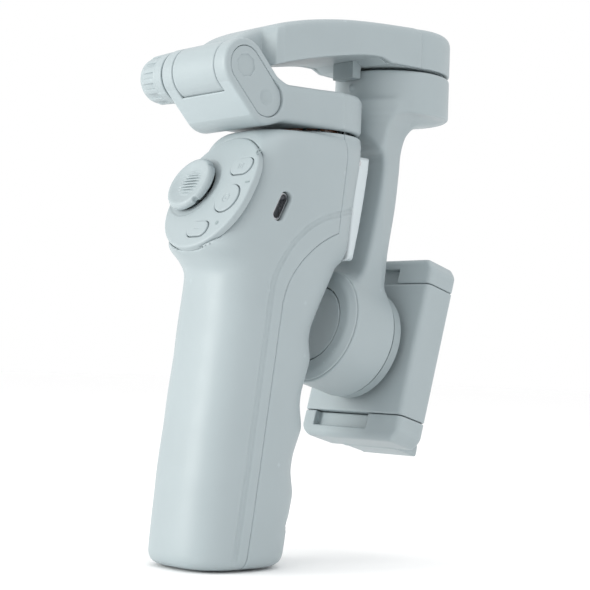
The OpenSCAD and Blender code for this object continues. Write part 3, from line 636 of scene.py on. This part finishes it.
PILLAR_FRONT = curved([(52.8, 152), (53.4, 143), (56.0, 137.5), (58.4, 130), (51.2, 98.6),
                       (44, 90)])
PILLAR_BACK = curved([(56.9, 74), (61.4, 92), (63, 103), (67, 118), (69, 130), (69.8, 137),
                      (71.6, 142.6), (75.4, 146.6), (82, 149)])


def roll_arm(x, y, z):
    v, n = roll_coords(y, z)
    low = TILT_Z - CUP_H
    cup = rod(x, y, z, MOTOR_R, low, TILT_Z - 0.4, 1.3, (0, TILT_Y))
    side = outline(y, z, PILLAR_FRONT + PILLAR_BACK + [(82, 152)])
    half = 11.6 - np.clip(y - 58, 0, 13) * 0.3 + np.clip(z - 134, 0, 16) ** 2 * 0.012
    pillar = both(side, np.abs(x) - half, 2.4)
    within = either(disc(x, y, MOTOR_R - 0.1, (0, TILT_Y)), z - 137.2, 3)
    pillar = both(pillar, within, 0.8)
    ring = rod(x, v, n, MOTOR_R - 0.2, -RING_H, 0, 1.0)
    arm = either(either(cup, pillar, 4.5), ring, 3.2)
    arm = both(arm, z - (TILT_Z - 0.4), 0.4)
    # travel lug below the stop block
    lug = np.sqrt(x * x + (y - TILT_Y + MOTOR_R - 0.2) ** 2 + (z - 157.4) ** 2) - 1.3
    arm = either(arm, lug, 0.5)
    arm = cut(arm, rod(x, y, z, ROOM_R, TILT_Z + 0.4 - STACK_H, 200, 0, (0, TILT_Y)), 0.3)
    arm = cut(arm, disc(x, y, 0.6, (0, TILT_Y)) + np.maximum(z - low - 2, 0), 0.2)
    arm = cut(arm, rod(x, v, n, COVER_R, -30, -5), 0.3)
    arm = cut(arm, rod(x, v, n, COVER_R, -2.9, 9), 0.3)
    return cut(arm, rod(x, v, n, 3.1, -9, 9))


def arm_cover(x, v, n):
    """Dished round cover with a raised lip."""
    r = np.hypot(x, v)
    cover = both(r - COVER_R, span(n, -1.5, 0.5))
    rim = both(both(r - 18.9, (r - 18.7 + (n - 0.5) * 1.5) * 0.58, 0.8),
               span(n, 0.1, 2.1), 0.5)
    cover = either(cover, rim)
    bowl = np.sqrt(r * r + (n - 42) ** 2) - 41.4
    cover = cut(cover, both(bowl, r - 15.2, 0.8), 0.4)
    # ring step in the middle of the dish
    return cut(cover, both(np.abs(r - 12.6) - 0.2, 0.35 - n, 0.1), 0.12)


# ---- phone clamp, in the roll frame ----

BACK_N = CLAMP_N - CLAMP_T
TOOTH_P = 2 * math.pi * PITCH_R / TEETH


def clamp_section(x, n):
    return both(np.abs(x) - CLAMP_W, span(n, BACK_N, CLAMP_N), 2.4)


def clamp_body(x, v, n):
    body = both(clamp_section(x, n), np.abs(v) - BODY_V, 0.35)
    body = cut(body, slab(x, v, n, (-16.4, 16.4), (-BODY_V - 1, BODY_V + 1),
                          (CLAMP_N - 9.6, CLAMP_N - 3)), 0.2)
    body = cut(body, slab(x, v, n, (2 - CLAMP_W, CLAMP_W - 2), (2 - BODY_V, BODY_V - 2),
                          (BACK_N - 1, CLAMP_N - 9)), 0.3)
    return cut(body, rod(x, v, n, 1.5, CLAMP_N - 9.5, CLAMP_N - 0.5))


def jaw(x, v, n, slit_x=(-16.5, 8)):
    """End wall, lip, tongue and rack of one jaw, drawn at the top."""
    corner = (np.abs(x) + v - (CLAMP_W + JAW_V - 3.54)) / math.sqrt(2)
    wall = both(clamp_section(x, n), span(v, BODY_V + 0.3, JAW_V), 0.5)
    wall = both(wall, corner, 0.9)
    wall = both(both(wall, (v - JAW_V) * 0.7 + (n - CLAMP_N) * 0.7 + 0.9, 0.8), v - JAW_V, 0.5)
    lip = slab(x, v, n, (-12, 12), (JAW_V - 2.8, JAW_V), (BACK_N - LIP_REACH, BACK_N + 1), 0.8)
    hook = slab(x, v, n, (-12, 12), (JAW_V - 3.9, JAW_V),
                (BACK_N - LIP_REACH, BACK_N - LIP_REACH + 1.4), 0.6)
    made = either(either(wall, lip, 0.8), hook, 0.3)
    tongue = slab(x, v, n, (-15.6, -6.4), (-17.6, BODY_V + 1),
                  (CLAMP_N - 9.2, CLAMP_N - 3.4), 0.2)
    for k in range(-7, 5):
        mid = (k + 0.5) * TOOTH_P
        tooth = both(np.abs(v - mid) - (1.05 - (x + 6.5) * 0.317), span(x, -6.7, -4.2))
        tongue = either(tongue, both(tooth, span(n, CLAMP_N - 9.2, CLAMP_N - 3.4)))
    made = either(made, tongue)
    slit = slab(x, v, n, slit_x, (BODY_V - 1, BODY_V + 5.2),
                (CLAMP_N - 2.6, CLAMP_N + 1), 0.3)
    return cut(made, slit, 0.25)


def other_jaw(x, v, n):
    return jaw(-x, -v, n, (-8, 16.5))


# ---- pieces from the formulas: node, formula, low corner, high corner, cell, frame ----

NEW = [
    ("front_shell", front_shell, (-20, -21, 3.9), (20, 36, 139), 0.5, None),
    ("rear_shell", rear_shell, (-20, -3, 3.9), (20, 52, 139), 0.5, None),
    ("trigger", trigger, (-14, 38, 98), (14, 54, 135), 0.4, None),
    ("control_panel", control_panel, (-19, -23.5, -2), (19, 18.5, 1), 0.26, PANEL),
    ("joystick_cap", joystick_cap, (-18.5, -10.5, -9.5), (1.5, 9.5, 5), 0.2, PANEL),
    ("mode_button", mode_button, (4.5, 2.5, -5), (14.7, 9.3, 1.3), 0.13, PANEL),
    ("record_button", record_button, (4.4, -10.8, -5), (14.8, -0.4, 1.3), 0.13, PANEL),
    ("power_button", power_button, (-2.6, -19.3, -5), (7.4, -13.1, 1.3), 0.13, PANEL),
    ("pan_arm", pan_arm, (-20, -13, 137), (17, 52, 164), 0.36, None),
    ("hinge_cap", hinge_cap, (10, -11, 138), (13, 12, 162), 0.16, None),
    ("lock_knob", lock_knob, (-33, -13, 146), (-18, 5, 163.5), 0.2, None),
    ("upper_arm", upper_arm, (-20, -13, 145), (20, 92, 179), 0.42, None),
    ("roll_arm", roll_arm, (-20, 34, 56), (20, 92, 165), 0.42, None),
    ("arm_cover", arm_cover, (-20, -20, -2), (20, 20, 3), 0.3, ROLL),
    ("clamp_body", clamp_body, (-23, -23, -38), (23, 23, -23), 0.42, ROLL),
    ("upper_jaw", jaw, (-23, -19, -48), (23, 32, -23), 0.42, ROLL),
    ("lower_jaw", other_jaw, (-23, -32, -48), (23, 19, -23), 0.42, ROLL),
]
for cad, shape, lo, hi, cell, place in NEW:
    stand_for(skin("look_" + cad, shape, lo, hi, cell, place), cad)

# ---- CAD pieces that stay: softened edges and a finish ----

REPLACED = {row[0] for row in NEW}
for name, o in frame["nodes"].items():
    if name in REPLACED:
        continue
    finish_with(o, SLOTS[name])
    flat = o.modifiers.new("flat faces", "DECIMATE")
    flat.decimate_type = "DISSOLVE"
    flat.angle_limit = math.radians(1.5)
    round_off = o.modifiers.new("edges", "BEVEL")
    round_off.width = 0.12 * MM
    round_off.segments = 2
    round_off.limit_method = "ANGLE"
    round_off.angle_limit = math.radians(35)

# ---- floor, light and camera ----

FLOOR_HALF = 6.0
floor = bpy.data.meshes.new("floor")
bm = bmesh.new()
bmesh.ops.create_grid(bm, x_segments=8, y_segments=8, size=FLOOR_HALF)
bm.to_mesh(floor)
bm.free()
floor = bpy.data.objects.new("floor", floor)
floor.location = (0, 0, -0.0006)
bpy.context.scene.collection.objects.link(floor)
floor.data.materials.append(material("floor_paper", (0.995, 0.995, 0.995), 0.9,
                                     grain=0.02, grain_scale=400, mottle=0.002))


def area(name, at, target, size, power, colour=(1, 1, 1)):
    """A soft square lamp."""
    lamp = bpy.data.lights.new(name, "AREA")
    lamp.shape, lamp.size, lamp.energy, lamp.color = "SQUARE", size, power, colour
    o = bpy.data.objects.new(name, lamp)
    o.location = at
    o.rotation_mode = "QUATERNION"
    o.rotation_quaternion = (Vector(target) - Vector(at)).to_track_quat("-Z", "Y")
    bpy.context.scene.collection.objects.link(o)


MIDDLE = (0, 0.03, 0.09)
area("key", (-0.42, -0.95, 0.28), MIDDLE, 0.5, 6.6, (1.0, 1.0, 0.97))
area("fill", (0.9, -0.1, 0.2), MIDDLE, 0.9, 0.5, (0.85, 0.93, 1.0))
area("top", (0.1, 0.1, 1.1), MIDDLE, 0.6, 1.8)

world = bpy.data.worlds.new("studio")
world.use_nodes = True
sky = world.node_tree.nodes["Background"]
sky.inputs["Color"].default_value = (1, 1, 1, 1)
sky.inputs["Strength"].default_value = 1.0
bpy.context.scene.world = world
bpy.context.scene.view_settings.view_transform = "Standard"

# the photograph's place and angle, found from the motor circles and the grip
CAM_AT = (0.3561, -0.2969, 0.0598)
CAM_YAW, CAM_PITCH, CAM_ROLL, CAM_LENS = 47.38, 2.785, 2.065, 92.8
cam_data = bpy.data.cameras.new("camera")
cam_data.lens, cam_data.sensor_width = CAM_LENS, 36
cam_data.clip_start, cam_data.clip_end = 0.01, 50
cam = bpy.data.objects.new("camera", cam_data)
cam.matrix_world = (Matrix.Translation(CAM_AT)
                    @ Matrix.Rotation(math.radians(CAM_YAW), 4, "Z")
                    @ Matrix.Rotation(math.radians(90 + CAM_PITCH), 4, "X")
                    @ Matrix.Rotation(math.radians(CAM_ROLL), 4, "Z"))
bpy.context.scene.collection.objects.link(cam)
bpy.context.scene.camera = cam
